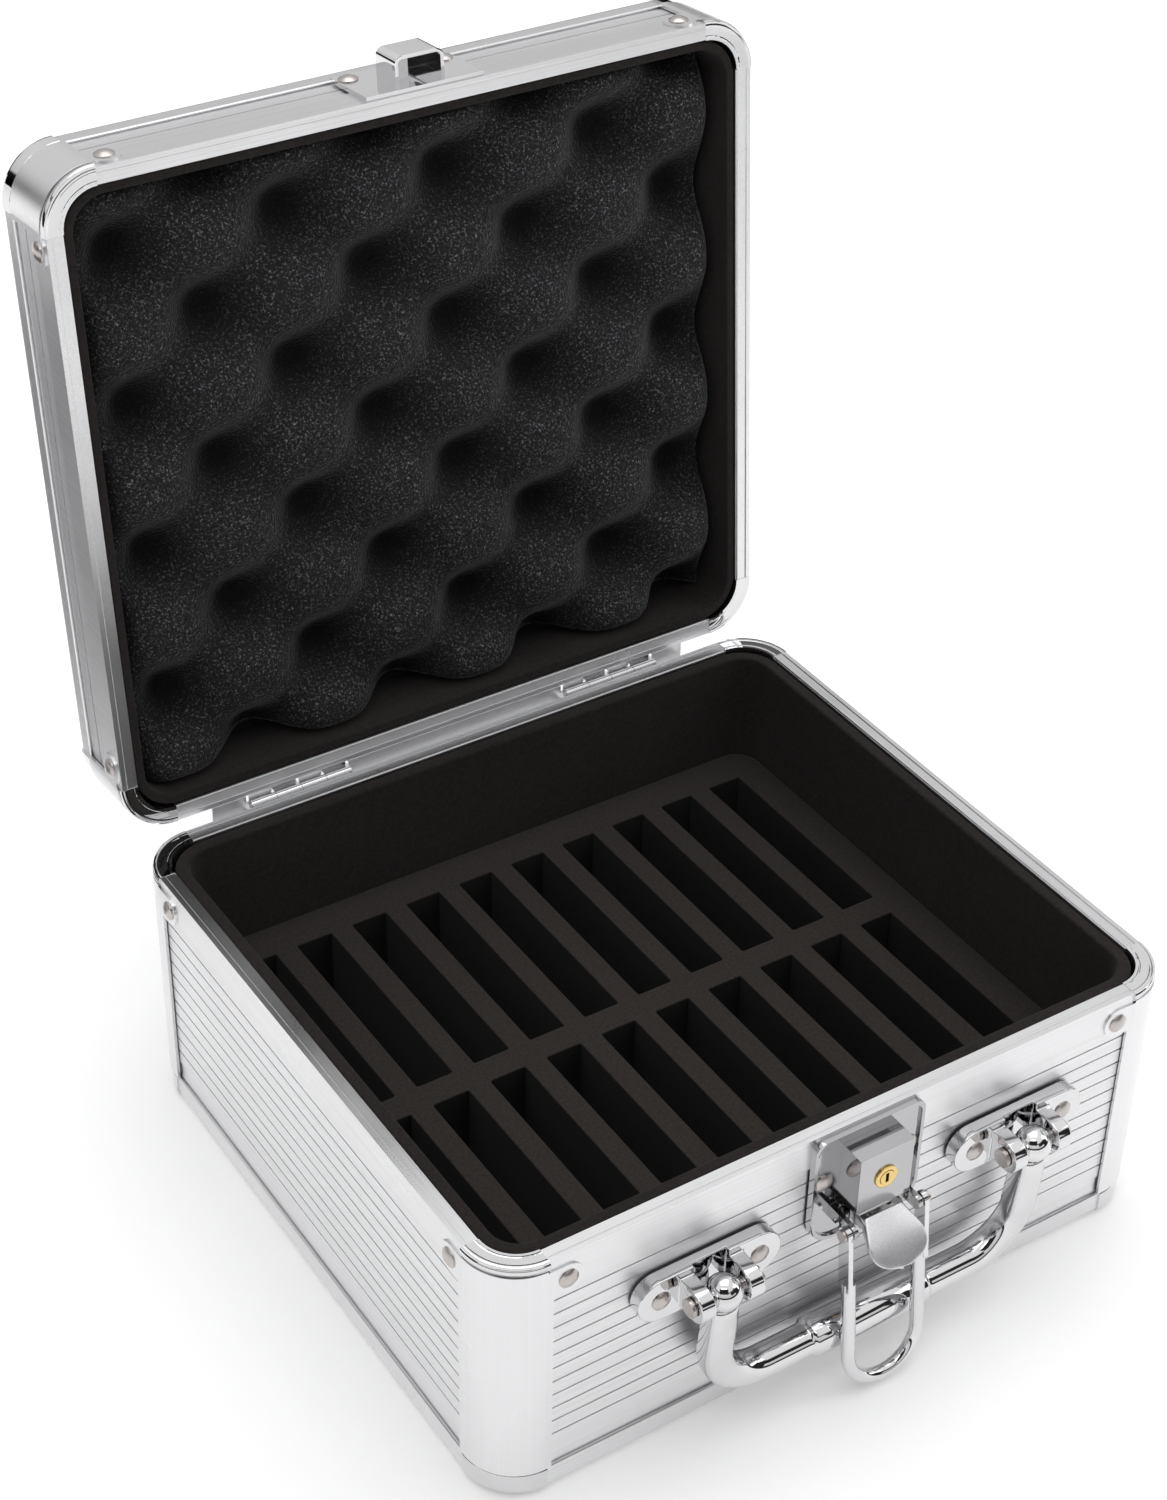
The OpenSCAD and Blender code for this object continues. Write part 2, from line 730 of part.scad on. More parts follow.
module bracket(sx) {
    half = bracket_rivet_x;
    difference() {
        on_front(lock_x + sx*pivot_x, -pivot_drop) difference() {
            union() {
                for (rx = [-1, 1])
                    translate([rx*half, 0, 0]) rotate([-90, 0, 0]) cylinder(r = bracket_r, h = bracket_t);
                translate([-half, 0, -bracket_r]) cube([2*half, bracket_t, 2*bracket_r]);
                for (ex = [-1, 1])
                    translate([ex*(ear_inner + ear_outer)/2, 0, 0]) {
                        translate([-(ear_outer - ear_inner)/2, bracket_t - 1, -4.6])
                            cube([ear_outer - ear_inner, handle_out - bracket_t + 1, 9.2]);
                        translate([0, handle_out, 0]) rotate([0, 90, 0])
                            cylinder(r = 4.6, h = ear_outer - ear_inner, center = true);
                    }
            }
            translate([-20, handle_out, 0]) rotate([0, 90, 0])
                cylinder(r = handle_pin_r + 0.02, h = 40);
            translate([-ear_inner, 2.6, -bracket_r - 1]) cube([2*ear_inner, 20, 2*bracket_r + 2]);
        }
        front_holes();
    }
}

module handle_bracket_left() { color(bright) bracket(-1); }
module handle_bracket_right() { color(bright) bracket(1); }

module handle_pins() {
    color(bright) for (sx = [-1, 1])
        on_front(lock_x + sx*pivot_x, -pivot_drop) translate([0, handle_out, 0]) rotate([0, 90, 0]) {
            cylinder(r = handle_pin_r, h = 2*ear_outer + 0.6, center = true);
            for (ex = [-1, 1])
                translate([0, 0, ex*(ear_outer + 0.8)]) cylinder(r = 2.6, h = 1, center = true);
        }
}

// Drop handle: a barrel and an arm at each end, two bends and the grip.
module handle() {
    reach = handle_drop - bend_r;
    color(bright) on_front(lock_x, -pivot_drop) translate([0, handle_out, 0])
        rotate([-handle_lean, 0, 0]) difference() {
            union() {
                for (sx = [-1, 1]) {
                    translate([sx*pivot_x, 0, 0]) intersection() {
                        sphere(barrel_r);
                        cube([2*ear_inner - 0.5, 20, 20], center = true);
                    }
                    translate([sx*pivot_x - arm_w/2, -arm_depth/2, -reach])
                        cube([arm_w, arm_depth, reach]);
                }
                translate([pivot_x - bend_r, 0, -reach]) bend_piece();
                mirror([1, 0, 0]) translate([pivot_x - bend_r, 0, -reach]) bend_piece();
                translate([0, 0, -handle_drop]) rotate([0, 90, 0])
                    cylinder(r = grip_r - 0.4, h = 2*(pivot_x - bend_r) + 0.2, center = true);
                translate([0, 0, -handle_drop]) rotate([0, 90, 0])
                    cylinder(r = grip_r + 0.4, h = grip_len, center = true);
            }
            for (sx = [-1, 1]) translate([sx*pivot_x - 10, 0, 0]) rotate([0, 90, 0])
                cylinder(r = handle_bore_r, h = 20);
        }
}

module bend_piece() {
    rotate([90, 0, 0]) rotate([0, 0, -90]) rotate_extrude(angle = 90)
        translate([bend_r, 0]) intersection() {
            circle(grip_r);
            square([arm_w, arm_depth + 2], center = true);
        }
}

// ---------------------------------------------------------------- lid

module lid_panel() {
    color(silver) lid_pose() lid_shell() wide_panel();
}

module lid_boards() {
    color(black) lid_pose() lid_shell() difference() {
        for (side = sides) wall_board(side, lid_h, floor_low);
        for (side = sides) on_side(side) corner_holes(side, lid_h, lid_rivet_drop);
        keeper_holes();
    }
}

module lid_skin_front() {
    color(silver) lid_pose() lid_shell() difference() {
        skin(front, lid_h, edge_h, lid_rivet_drop, 1.4);
        keeper_holes();
    }
}
module lid_skin_right() { color(silver) lid_pose() lid_shell() skin(right, lid_h, edge_h, lid_rivet_drop, 1.4); }
module lid_skin_rear() { color(silver) lid_pose() lid_shell() skin(rear, lid_h, edge_h, lid_rivet_drop, 1.4); }
module lid_skin_left() { color(silver) lid_pose() lid_shell() skin(left, lid_h, edge_h, lid_rivet_drop, 1.4); }

module lid_rim_rail_front() {
    color(silver) lid_pose() lid_shell() difference() {
        rim_rail(front, lid_h, lid_rivet_drop);
        keeper_holes();
    }
}
module lid_rim_rail_right() { color(silver) lid_pose() lid_shell() rim_rail(right, lid_h, lid_rivet_drop); }
module lid_rim_rail_rear() {
    color(silver) lid_pose() lid_shell() rim_rail(rear, lid_h, lid_rivet_drop);
}
module lid_rim_rail_left() { color(silver) lid_pose() lid_shell() rim_rail(left, lid_h, lid_rivet_drop); }

module lid_edge_rails_long() {
    color(silver) lid_pose() lid_shell() for (side = [front, rear]) foot_rail(side, edge_h);
}
module lid_edge_rails_short() {
    color(silver) lid_pose() lid_shell() for (side = [right, left]) foot_rail(side, edge_h);
}

module lid_pillars() {
    color(bright) lid_pose() lid_shell()
        for (corner = sides) pillar(corner, lid_h, edge_h, lid_rivet_drop);
}
module lid_rim_corners() {
    color(bright) lid_pose() lid_shell() for (corner = sides) rim_corner(corner, lid_h);
}
module lid_edge_corners() {
    color(bright) lid_pose() lid_shell() for (corner = sides) foot_corner(corner, edge_h);
}
module lid_rivets() {
    color(bright) lid_pose() lid_shell() {
        corner_rivets(lid_h, lid_rivet_drop);
        for (sx = [-1, 1])
            translate([lock_x + sx*keeper_rivet_x, -case_d/2 - keeper_t, lid_h - keeper_rivet_up])
                rivet(keeper_t + board_in - 0.3);
    }
}

module lid_liner() {
    color(black) lid_pose() lid_shell()
        lining(floor_low + panel_t + soft_gap, lid_h - lining_drop, lid_lining_t, 1);
}

// Foam pad in the lid, drawn as a slab; its pits are shallow rounds.
foam_low = floor_low + panel_t + soft_gap + 1 + soft_gap;
foam_top = lid_h - 4;
foam_margin = 1.4;
module lid_foam() {
    hx = case_w/2 - lining_in - lid_lining_t - foam_margin;
    hy = case_d/2 - lining_in - lid_lining_t - foam_margin;
    color([0.1, 0.1, 0.1]) lid_pose() lid_shell() translate([0, 0, foam_low])
        rounded_plate(hx, hy, 8, foam_top - foam_low);
}

// Keeper: a riveted plate with an arched hood that the bail's wire hooks over.
keeper_t = 1.2;
keeper_half = 17.4;
keeper_h = 20;
hood_half = 7.3;
hood_out = 8.2;
hood_low = 5.3;
hood_top = 15.5;
hood_x = 4;
module hood_shape(inset) {
    half = hood_half - inset;
    out = hood_out - inset*(1 + keeper_t);
    r = 2.4 - inset;
    translate([-half, -out + r]) square([2*half, out - r]);
    translate([-half + r, -out]) square([2*(half - r), r + eps]);
    for (sx = [-1, 1]) translate([sx*(half - r), -out + r]) circle(r);
}

module keeper() {
    color(bright) lid_pose() lid_shell() difference() {
        union() {
            translate([lock_x - keeper_half, -case_d/2 - keeper_t, lid_h - keeper_h])
                cube([2*keeper_half, keeper_t, keeper_h - 0.6]);
            translate([hood_x, -case_d/2, lid_h - hood_top])
                linear_extrude(hood_top - hood_low) hood_shape(0);
        }
        translate([hood_x, -case_d/2 - keeper_t, lid_h - hood_top + 1.2])
            linear_extrude(hood_top - 1.2 - hood_low + 1) hood_shape(1);
        keeper_holes();
    }
}

module lid_hinge_leaves() { color(bright) lid_pose() hinge_leaves(1); }

// ---------------------------------------------------------------- drawing
base_floor();
base_boards();
base_skin_front();
base_skin_right();
base_skin_rear();
base_skin_left();
base_rim_rail_front();
base_rim_rail_right();
base_rim_rail_rear();
base_rim_rail_left();
base_foot_rail_front();
base_foot_rail_right();
base_foot_rail_rear();
base_foot_rail_left();
base_pillar_front_left();
base_pillar_front_right();
base_pillar_rear_right();
base_pillar_rear_left();
base_rim_corners();
base_foot_corners();
base_rivets();
base_liner();
insert_pad();
insert_bars();
insert_dividers();
base_hinge_leaves();
hinge_pins();
lock_plate();
lock_box();
lock_cylinder();
lever_pin();
handle_bracket_left();
handle_bracket_right();
handle_pins();
lid_panel();
lid_boards();
lid_skin_front();
lid_skin_right();
lid_skin_rear();
lid_skin_left();
lid_rim_rail_front();
lid_rim_rail_right();
lid_rim_rail_rear();
lid_rim_rail_left();
lid_edge_rails_long();
lid_edge_rails_short();
lid_pillars();
lid_rim_corners();
lid_edge_corners();
lid_rivets();
lid_liner();
lid_foam();
keeper();
lid_hinge_leaves();
handle();
lever();
bail_pins();
bail();
key_plug();
lock_cam();
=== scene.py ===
"""Looks of the aluminium carrying case: soft linings, foam, handle, lever and every material."""

import json
import math

import bmesh
import bpy
from mathutils import Matrix, Vector


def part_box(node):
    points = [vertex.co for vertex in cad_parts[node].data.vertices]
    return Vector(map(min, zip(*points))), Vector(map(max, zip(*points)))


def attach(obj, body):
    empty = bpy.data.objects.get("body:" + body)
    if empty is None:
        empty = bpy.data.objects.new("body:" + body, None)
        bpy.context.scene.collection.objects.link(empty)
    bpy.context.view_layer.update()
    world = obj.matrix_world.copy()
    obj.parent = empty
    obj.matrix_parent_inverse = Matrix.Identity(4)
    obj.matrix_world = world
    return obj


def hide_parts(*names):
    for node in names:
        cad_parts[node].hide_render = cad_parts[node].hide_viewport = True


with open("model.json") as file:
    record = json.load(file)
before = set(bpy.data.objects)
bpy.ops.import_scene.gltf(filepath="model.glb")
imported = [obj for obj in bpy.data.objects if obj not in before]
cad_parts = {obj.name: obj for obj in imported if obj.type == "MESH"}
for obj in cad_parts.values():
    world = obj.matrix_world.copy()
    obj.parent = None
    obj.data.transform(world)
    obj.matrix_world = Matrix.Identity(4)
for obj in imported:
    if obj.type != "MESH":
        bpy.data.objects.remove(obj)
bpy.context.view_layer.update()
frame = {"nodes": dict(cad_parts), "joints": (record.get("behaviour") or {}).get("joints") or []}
nodes = frame["nodes"]
joints = {j["name"]: j for j in frame["joints"]}
MM = 0.001

# ------------------------------------------------------------------ places

LID_OPEN = 95.0
LID_DEEP = 28 * MM
hinge = Vector(joints["lid_hinge"]["pos_m"])
LID = (
    Matrix.Translation(hinge)
    @ Matrix.Rotation(math.radians(-LID_OPEN), 4, "X")
    @ Matrix.Translation(-hinge)
)
# Heights in the shut lid, which LID then turns open.
LID_RIM_Z = 81.3 * MM
LID_TOP_Z = LID_RIM_Z + LID_DEEP


def half_size(node, axis):
    low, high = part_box(node)
    return (high[axis] - low[axis]) / 2


# ------------------------------------------------------------------ materials


class Nodes:
    """Short names for building one material's node tree."""

    def __init__(self, name):
        self.mat = bpy.data.materials.new(name)
        self.mat.use_nodes = True
        self.tree = self.mat.node_tree
        self.shader = self.tree.nodes["Principled BSDF"]
        self.coord = self.tree.nodes.new("ShaderNodeTexCoord")

    def set(self, **values):
        for key, value in values.items():
            self.shader.inputs[key.replace("_", " ")].default_value = value

    def scaled(self, scale):
        """Object coordinates in metres times a scale, which may differ for each axis."""
        if not isinstance(scale, tuple):
            scale = (scale, scale, scale)
        mapping = self.tree.nodes.new("ShaderNodeMapping")
        mapping.inputs["Scale"].default_value = scale
        self.tree.links.new(self.coord.outputs["Object"], mapping.inputs["Vector"])
        return mapping.outputs["Vector"]

    def noise(self, scale, detail=3.0, rough=0.5):
        node = self.tree.nodes.new("ShaderNodeTexNoise")
        node.inputs["Scale"].default_value = 1.0
        node.inputs["Detail"].default_value = detail
        node.inputs["Roughness"].default_value = rough
        self.tree.links.new(self.scaled(scale), node.inputs["Vector"])
        return node.outputs["Fac"]

    def cells(self, scale):
        node = self.tree.nodes.new("ShaderNodeTexVoronoi")
        node.inputs["Scale"].default_value = 1.0
        self.tree.links.new(self.scaled(scale), node.inputs["Vector"])
        return node.outputs["Distance"]

    def ramp(self, fac, stops):
        node = self.tree.nodes.new("ShaderNodeValToRGB")
        elements = node.color_ramp.elements
        while len(elements) < len(stops):
            elements.new(0.5)
        for element, (place, color) in zip(elements, stops):
            element.position = place
            element.color = (*color, 1.0)
        self.tree.links.new(fac, node.inputs["Fac"])
        return node.outputs["Color"]

    def spread(self, fac, low, high, start=0.3, end=0.7):
        """Maps start..end of fac to low..high. Noise lies mostly between 0.3 and 0.7."""
        node = self.tree.nodes.new("ShaderNodeMapRange")
        node.inputs["From Min"].default_value = start
        node.inputs["From Max"].default_value = end
        node.inputs["To Min"].default_value = low
        node.inputs["To Max"].default_value = high
        self.tree.links.new(fac, node.inputs["Value"])
        return node.outputs["Result"]

    def height(self, vector):
        """Z of a vector."""
        node = self.tree.nodes.new("ShaderNodeSeparateXYZ")
        self.tree.links.new(vector, node.inputs[0])
        return node.outputs["Z"]

    def darken(self, color, factor):
        """Colour times a factor."""
        node = self.tree.nodes.new("ShaderNodeVectorMath")
        node.operation = "SCALE"
        self.tree.links.new(color, node.inputs[0])
        self.tree.links.new(factor, node.inputs["Scale"])
        return node.outputs[0]

    def link(self, output, socket):
        self.tree.links.new(output, self.shader.inputs[socket])

    def bump(self, fac, height, strength):
        node = self.tree.nodes.new("ShaderNodeBump")
        node.inputs["Strength"].default_value = strength
        node.inputs["Distance"].default_value = height
        self.tree.links.new(fac, node.inputs["Height"])
        self.link(node.outputs["Normal"], "Normal")


def grain(along):
    """Scale of a noise that is stretched along one axis."""
    fine, slow = 2600.0, 14.0
    return tuple(slow if i == along else fine for i in range(3))


def brushed(name, along, tint, rough, streak=0.06):
    """Metal brushed along one axis: streaks in its colour, and clouds in its roughness."""
    scratch_depth = 0.01 * MM
    m = Nodes(name)
    m.set(Metallic=1.0)
    lines = m.noise(grain(along), 2.0)
    cloud = m.noise(22.0)
    light = tuple(min(1.0, c + streak * 0.5) for c in tint)
    dark = tuple(c - streak for c in tint)
    m.link(m.ramp(lines, [(0.3, dark), (0.7, light)]), "Base Color")
    m.link(m.spread(cloud, rough - 0.05, rough + 0.06), "Roughness")
    m.bump(lines, scratch_depth, 0.35)
    return m.mat


def polished(name, tint, rough):
    """Polished or plated metal, with faint smears and a slight orange peel."""
    peel_depth = 0.012 * MM
    m = Nodes(name)
    m.set(Metallic=1.0)
    smear = m.noise(60.0, 4.0)
    smeared = tuple(c * 0.94 for c in tint)
    m.link(m.ramp(smear, [(0.35, smeared), (0.65, tint)]), "Base Color")
    m.link(m.spread(smear, rough * 0.7, rough * 1.6), "Roughness")
    m.bump(m.noise(150.0, 2.0), peel_depth, 0.5)
    return m.mat


def soft(name, dark, light, fine, height, sheen):
    """Dull fibrous surface: fine pores under slow clouds of lighter and darker colour."""
    cloud_depth = 0.35
    m = Nodes(name)
    m.set(Roughness=0.92, Sheen_Weight=sheen, Sheen_Roughness=0.5, Specular_IOR_Level=0.18)
    pores = m.noise(fine, 4.0, 0.65)
    cloud = m.noise(30.0)
    mix = m.tree.nodes.new("ShaderNodeMath")
    mix.operation = "MULTIPLY_ADD"
    mix.inputs[1].default_value = cloud_depth
    m.tree.links.new(cloud, mix.inputs[0])
    m.tree.links.new(pores, mix.inputs[2])
    m.link(m.ramp(mix.outputs[0], [(0.45, dark), (0.85, light)]), "Base Color")
    m.bump(pores, height, 0.6)
    return m.mat


def foam_material():
    """Open-cell foam: near black, with painted shade darker down in the pits and painted glints
    where cell walls would catch the light.
    """
    cell, web, painted_glint = (0.006, 0.006, 0.0066), (0.022, 0.022, 0.024), (0.2, 0.2, 0.215)
    pit_start, pit_end, pit_painted_shade = 5 * MM, 17 * MM, 0.08
    m = Nodes("open_cell_foam")
    m.set(Roughness=0.85, Sheen_Weight=0.1, Sheen_Roughness=0.4, Specular_IOR_Level=0.25)
    speck = m.noise(1500.0, 2.0, 0.8)
    # The brightest specks in this ramp are painted glints.
    grains = m.ramp(speck, [(0.42, cell), (0.58, web), (0.7, painted_glint)])
    # The open lid is turned back, so that a pit's depth is a height again.
    turn = m.tree.nodes.new("ShaderNodeMapping")
    turn.inputs["Rotation"].default_value = (math.radians(LID_OPEN), 0, 0)
    m.tree.links.new(m.coord.outputs["Object"], turn.inputs["Vector"])
    rim = (Matrix.Rotation(math.radians(LID_OPEN), 3, "X") @ (LID @ Vector((0, 0, LID_RIM_Z)))).z
    depth = m.height(turn.outputs["Vector"])
    # Painted shade: the colour darkens with depth into a pit.
    shade = m.spread(depth, 1.0, pit_painted_shade, rim + pit_start, rim + pit_end)
    m.link(m.darken(grains, shade), "Base Color")
    m.bump(m.cells(900.0), 0.5 * MM, 0.7)
    return m.mat


def insert_material():
    """Closed-cell foam block, with painted shade that makes its walls darker than its top."""
    dark, light, wall = (0.022, 0.0188, 0.0168), (0.036, 0.0312, 0.0285), 0.19
    m = Nodes("insert_eva")
    m.set(Roughness=0.93, Sheen_Weight=0.06, Sheen_Roughness=0.5, Specular_IOR_Level=0.15)
    pores = m.noise(1100.0, 4.0, 0.65)
    skin = m.ramp(pores, [(0.35, dark), (0.7, light)])
    geometry = m.tree.nodes.new("ShaderNodeNewGeometry")
    facing_up = m.height(geometry.outputs["Normal"])
    # Painted shade: faces turned away from up, such as the slot walls, get a darker colour.
    shade = m.spread(facing_up, wall, 1.0, 0.2, 0.9)
    m.link(m.darken(skin, shade), "Base Color")
    m.bump(pores, 0.12 * MM, 0.6)
    return m.mat


SILVER = (0.8, 0.8, 0.81)
LINING_DARK, LINING_LIGHT = (0.0105, 0.0086, 0.0078), (0.022, 0.0182, 0.0168)
MATS = {
    "rail_x": brushed("rail_lengthwise", 0, SILVER, 0.3),
    "rail_y": brushed("rail_crosswise", 1, SILVER, 0.3),
    "skin_x": brushed("ribbed_sheet_lengthwise", 0, SILVER, 0.36),
    "skin_y": brushed("ribbed_sheet_crosswise", 1, SILVER, 0.36),
    "post": brushed("post_satin", 2, SILVER, 0.3, 0.02),
    "chrome": polished("bright_chrome", (0.74, 0.74, 0.75), 0.04),
    "cast": polished("cast_chrome", (0.72, 0.72, 0.73), 0.07),
    "lock": polished("lock_chrome", (0.5, 0.5, 0.51), 0.08),
    "rivet": polished("rivet_steel", (0.56, 0.52, 0.5), 0.24),
    "satin": brushed("satin_plate", 2, (0.72, 0.72, 0.74), 0.36, 0.08),
    "brass": polished("turned_brass", (0.83, 0.61, 0.24), 0.16),
    "board": soft("fibreboard", (0.09, 0.06, 0.04), (0.2, 0.14, 0.09), 300.0, 0.1 * MM, 0.25),
    "lining": soft("lining_eva", LINING_DARK, LINING_LIGHT, 900.0, 0.12 * MM, 0.06),
    "eva": insert_material(),
    "foam": foam_material(),
}


def cad_material(name):
    if "rim_rail" in name or "foot_rail" in name or "edge_rails" in name:
        across = name.endswith(("left", "right", "short"))
        return "rail_y" if across else "rail_x"
    if "skin" in name or name == "lid_panel":
        return "skin_y" if name.endswith(("left", "right")) else "skin_x"
    if "pillar" in name:
        return "post"
    if "corners" in name:
        return "chrome"
    if "rivets" in name:
        return "rivet"
    if name in ("base_boards", "lid_boards", "base_floor"):
        return "board"
    if name in ("lock_cylinder", "key_plug"):
        return "brass"
    if name in ("base_hinge_leaves", "lid_hinge_leaves", "hinge_pins"):
        return "cast"
    if name in ("handle_pins", "lever_pin", "bail_pins", "lock_cam"):
        return "rivet"
    if name in ("lock_plate", "lock_box"):
        return "lock"
    return "chrome"


def soften(obj, width):
    """Rounds a CAD node's hard edges in the picture, on the welded mesh."""
    weld = obj.modifiers.new("weld", "WELD")
    weld.merge_threshold = 0.002 * MM
    bevel = obj.modifiers.new("bevel", "BEVEL")
    bevel.width = width
    bevel.segments = 3
    bevel.limit_method = "ANGLE"
    bevel.angle_limit = math.radians(40)
    obj.modifiers.new("normals", "WEIGHTED_NORMAL").keep_sharp = False


SOFT_EDGES = {
    "handle_bracket_left": 0.4 * MM,
    "handle_bracket_right": 0.4 * MM,
    "lock_box": 0.9 * MM,
    "lock_plate": 0.5 * MM,
    "keeper": 0.4 * MM,
    "lock_cylinder": 0.2 * MM,
}
for name, obj in nodes.items():
    obj.data.materials.clear()
    obj.data.materials.append(MATS[cad_material(name)])
    for polygon in obj.data.polygons:
        polygon.use_smooth = True
    if name in SOFT_EDGES:
        soften(obj, SOFT_EDGES[name])


# ------------------------------------------------------------------ pieces


def mesh_from(bm, name):
    mesh = bpy.data.meshes.new(name)
    bm.to_mesh(mesh)
    bm.free()
    return mesh


def finish_piece(name, mesh, body, material, replaced, lid=False, smooth=True):
    """Puts a mesh in the scene as a piece. A mesh made in the shut lid is turned open."""
    obj = bpy.data.objects.new(name, mesh)
    bpy.context.scene.collection.objects.link(obj)
    if lid:
        mesh.transform(LID)
    mesh.materials.clear()
    mesh.materials.append(MATS[material])
    for polygon in mesh.polygons:
        polygon.use_smooth = smooth
    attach(obj, body)
    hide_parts(*replaced)
    return obj


def rounded_rect(half_x, half_y, r, steps=10):
    """Outline about the origin, with round corners of this many steps."""
    points = []
    for i, (sx, sy) in enumerate(((1, 1), (-1, 1), (-1, -1), (1, -1))):
        for k in range(steps + 1):
            a = math.radians(90 * i + 90 * k / steps)
            x = sx * (half_x - r) + r * math.cos(a)
            y = sy * (half_y - r) + r * math.sin(a)
            points.append((x, y))
    return points


def plate(name, outlines, low, high, edge):
    """Mesh of a flat piece with holes, from 2-D outlines, with rounded edges."""
    curve = bpy.data.curves.new(name, "CURVE")
    curve.dimensions = "2D"
    curve.fill_mode = "BOTH"
    curve.extrude = (high - low) / 2 - edge
    curve.bevel_depth = edge
    curve.bevel_resolution = 3
    curve.offset = -edge
    for outline in outlines:
        spline = curve.splines.new("POLY")
        spline.points.add(len(outline) - 1)
        for point, (x, y) in zip(spline.points, outline):
            point.co = (x, y, 0, 1)
        spline.use_cyclic_u = True
    obj = bpy.data.objects.new(name, curve)
    bpy.context.scene.collection.objects.link(obj)
    obj.location.z = (low + high) / 2
    bpy.context.view_layer.update()
    depsgraph = bpy.context.evaluated_depsgraph_get()
    mesh = bpy.data.meshes.new_from_object(obj.evaluated_get(depsgraph))
    mesh.transform(obj.matrix_world)
    bpy.data.objects.remove(obj)
    return mesh


def join_meshes(name, meshes):
    bm = bmesh.new()
    for mesh in meshes:
        bm.from_mesh(mesh)
    bmesh.ops.recalc_face_normals(bm, faces=bm.faces)
    return mesh_from(bm, name)


def slotted_insert():
    """A block with two rows of slots over a plain pad, both of closed-cell foam."""
    slot_w, slot_len, slot_r = 10.9 * MM, 68 * MM, 0.5 * MM
    slot_pitch, slot_count = 17.8 * MM, 10
    row_start = (-70.1 * MM, 6.3 * MM)
    corner_r, edge = 7.8 * MM, 0.45 * MM
    pad_low, pad_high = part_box("insert_pad")
    bar_low, bar_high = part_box("insert_bars")
    outlines = [rounded_rect(half_size("insert_pad", 0), half_size("insert_pad", 1), corner_r)]
    slot = rounded_rect(slot_w / 2, slot_len / 2, slot_r, 3)[::-1]
    for y0 in row_start:
        for k in range(slot_count):
            x0 = (k - (slot_count - 1) / 2) * slot_pitch
            outlines.append([(x + x0, y + y0 + slot_len / 2) for x, y in slot])
    parts = [
        plate("bars", outlines, bar_low[2], bar_high[2], edge),
        plate("pad", outlines[:1], pad_low[2], pad_high[2], edge),
    ]
    replaced = ("insert_pad", "insert_bars", "insert_dividers")
    mesh = join_meshes("slotted_insert", parts)
    piece = finish_piece("slotted_insert", mesh, "insert", "eva", replaced, smooth=False)


slotted_insert()


def lining(name, node, body, wall_t, wall, floor, rolled, lid=False):
    """Lining tray with a rolled edge. wall and floor are each a pair of heights."""
    half_x, half_y, corner_r = 100.1 * MM, 90.1 * MM, 12 * MM
    outer = rounded_rect(half_x, half_y, corner_r)
    inner = rounded_rect(half_x - wall_t, half_y - wall_t, corner_r - wall_t)
    parts = [
        plate("wall", [outer, inner[::-1]], *wall, rolled),
        plate("floor", [inner], *floor, 0.3 * MM),
    ]
    piece = finish_piece(name, join_meshes(name, parts), body, "lining", (node,), lid)


def linings():
    base_floor_t, lid_floor_t = 2 * MM, 1 * MM
    low, top = (corner[2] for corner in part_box("base_liner"))
    base_floor = (low, low + base_floor_t)
    lining("base_lining", "base_liner", "case", 3.8 * MM, (low, top), base_floor, 0.8 * MM)
    rim, roof = LID_RIM_Z + 1 * MM, LID_TOP_Z - 4.8 * MM
    lid_floor = (roof - lid_floor_t, roof)
    lining("lid_lining", "lid_liner", "lid", 2.6 * MM, (rim, roof), lid_floor, 0.5 * MM, lid=True)


linings()


def egg_crate():
    """Convoluted foam pad in the lid: staggered pits, a cut edge all round."""
    half_x, half_y = 95.6 * MM, 85.6 * MM
    back, back_scale = LID_TOP_Z - 6.0 * MM, 0.985
    middle, swing = LID_RIM_Z + 11.3 * MM, 7.4 * MM
    pitch_x, pitch_y = 24.3 * MM, 21.6 * MM
    pit_x, pit_y = 13.2 * MM, -24.8 * MM
    pit_sharpness = 1.7
    edge_width, edge_drop, edge_pull = 4 * MM, 1.6 * MM, 0.028
    nx, ny = 150, 134
    bm = bmesh.new()

    def depth(x, y):
        """-1 on a crest and 1 in a pit. Pits are narrower than crests."""
        wave_x = math.cos(math.pi * (x - pit_x) / pitch_x)
        wave_y = math.cos(math.pi * (y - pit_y) / pitch_y)
        return 2 * ((wave_x * wave_y + 1) / 2) ** pit_sharpness - 1

    def place(u, v):
        x, y = (2 * u - 1) * half_x, (2 * v - 1) * half_y
        wave = depth(x, y)
        edge = min(half_x - abs(x), half_y - abs(y)) / edge_width
        drop = max(0.0, 1 - edge) ** 2 * edge_drop
        # Crests lean out over the cut edge and pits draw it in.
        pull = 1.0 - edge_pull * max(0.0, 1 - edge / 3) * (0.5 + 0.5 * wave)
        return Vector((x * pull, y * pull, middle + swing * wave + drop))

    grid = [[bm.verts.new(place(i / nx, j / ny)) for j in range(ny + 1)] for i in range(nx + 1)]
    for i in range(nx):
        for j in range(ny):
            bm.faces.new((grid[i][j], grid[i][j + 1], grid[i + 1][j + 1], grid[i + 1][j]))
    rim = (
        [grid[i][0] for i in range(nx)]
        + [grid[nx][j] for j in range(ny)]
        + [grid[i][ny] for i in range(nx, 0, -1)]
        + [grid[0][j] for j in range(ny, 0, -1)]
    )
    foot = [bm.verts.new((v.co.x * back_scale, v.co.y * back_scale, back)) for v in rim]
    count = len(rim)
    for k in range(count):
        bm.faces.new((rim[k], rim[(k + 1) % count], foot[(k + 1) % count], foot[k]))
    bm.faces.new(foot)
    bmesh.ops.recalc_face_normals(bm, faces=bm.faces)
    mesh = mesh_from(bm, "egg_crate_foam")
    piece = finish_piece("egg_crate_foam", mesh, "lid", "foam", ("lid_foam",), lid=True)


egg_crate()


